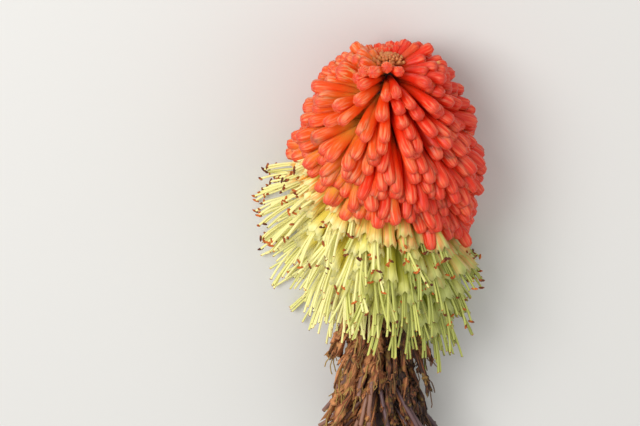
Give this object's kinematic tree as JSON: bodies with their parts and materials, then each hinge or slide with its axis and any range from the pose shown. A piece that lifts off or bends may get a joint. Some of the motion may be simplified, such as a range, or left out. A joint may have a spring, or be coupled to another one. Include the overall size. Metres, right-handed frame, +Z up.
{
  "type": "red hot poker flower",
  "caption": "Cut red hot poker lying down: a slanted cone of closed red buds over open yellow tubes with long stamens and withered brown florets, on a bare green stalk.",
  "frame": {"origin": "on the surface that the flower lies on, under the middle of its bounding box", "axes": "+Y along the stalk towards the tip of the head, +Z up, so that the side with the shortest red zone faces up; +X to the right of that side"},
  "size_m": [0.085, 0.3064, 0.0636],
  "materials": {
    "tip_buds": "dull ochre-orange undeveloped buds",
    "red_buds": "waxy red petals, paler at the tips and orange at the roots",
    "open_florets": "thin cream-yellow to yellow-green petals and pale stamens with brown anthers",
    "withered_florets": "dry, shrivelled brown petals",
    "stalk": "smooth fresh green skin with a pale cut end"
  },
  "bodies": {
    "root": {"tip_buds": "tip_buds", "red_buds": "red_buds", "open_florets": "open_florets", "withered_florets": "withered_florets", "stalk": "stalk"}
  },
  "joints": []
}
